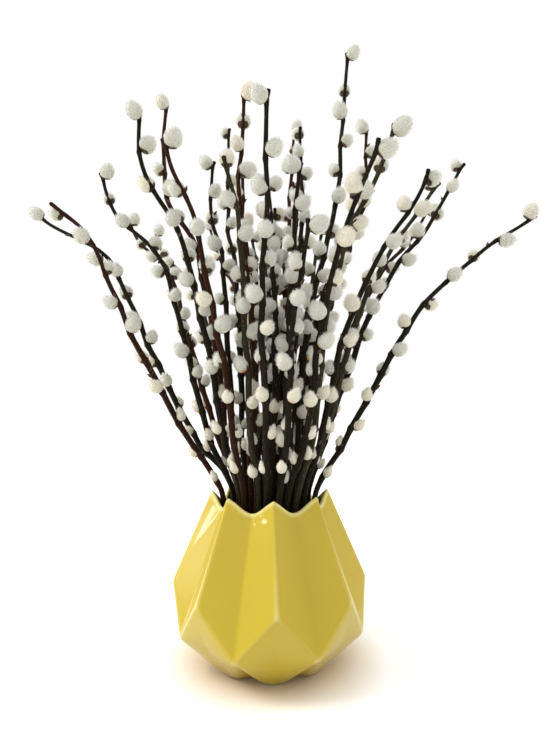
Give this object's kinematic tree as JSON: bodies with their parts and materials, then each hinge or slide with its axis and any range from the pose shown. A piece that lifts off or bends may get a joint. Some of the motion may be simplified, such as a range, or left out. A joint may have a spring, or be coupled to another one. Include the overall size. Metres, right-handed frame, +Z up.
{
  "type": "willow branches in a vase",
  "caption": "Bunch of cut willow branches with soft silvery catkins, standing in a wide pleated ceramic vase with a wavy rim.",
  "frame": {"origin": "centre of the vase's foot, on the surface it stands on", "axes": "+Z up, -Y is the front, +X is to the right seen from the front"},
  "size_m": [0.4724, 0.3633, 0.5386],
  "materials": {
    "glaze": "glossy yellow glaze, paler on the folds and the rim",
    "dark_bark": "satin near-black brown bark",
    "red_bark": "satin red-brown bark",
    "olive_bark": "satin olive bark",
    "catkin_down": "velvety silver-white down over a grey-olive bud",
    "bud_scale": "thin shiny brown scales under the catkins, a few still yellow or red"
  },
  "bodies": {
    "root": {"vase": "glaze", "branch_01": "dark_bark", "branch_02": "dark_bark", "branch_03": "red_bark", "branch_04": "dark_bark", "branch_05": "olive_bark", "branch_06": "dark_bark", "branch_07": "red_bark", "branch_08": "dark_bark", "branch_09": "dark_bark", "branch_10": "red_bark", "branch_11": "dark_bark", "branch_12": "olive_bark", "branch_13": "dark_bark", "branch_14": "red_bark", "branch_15": "dark_bark", "branch_16": "dark_bark", "branch_17": "red_bark", "branch_18": "dark_bark", "branch_19": "olive_bark", "branch_20": "dark_bark", "branch_21": "red_bark", "branch_22": "dark_bark", "branch_23": "dark_bark", "branch_24": "red_bark", "branch_25": "dark_bark", "branch_26": "olive_bark", "branch_27": "dark_bark", "branch_28": "red_bark", "branch_29": "dark_bark", "branch_30": "dark_bark", "branch_31": "red_bark", "branch_32": "dark_bark", "branch_33": "olive_bark", "branch_34": "dark_bark", "branch_35": "red_bark", "branch_36": "dark_bark", "branch_37": "dark_bark", "branch_38": "red_bark", "branch_39": "dark_bark", "branch_40": "olive_bark"}
  },
  "joints": []
}
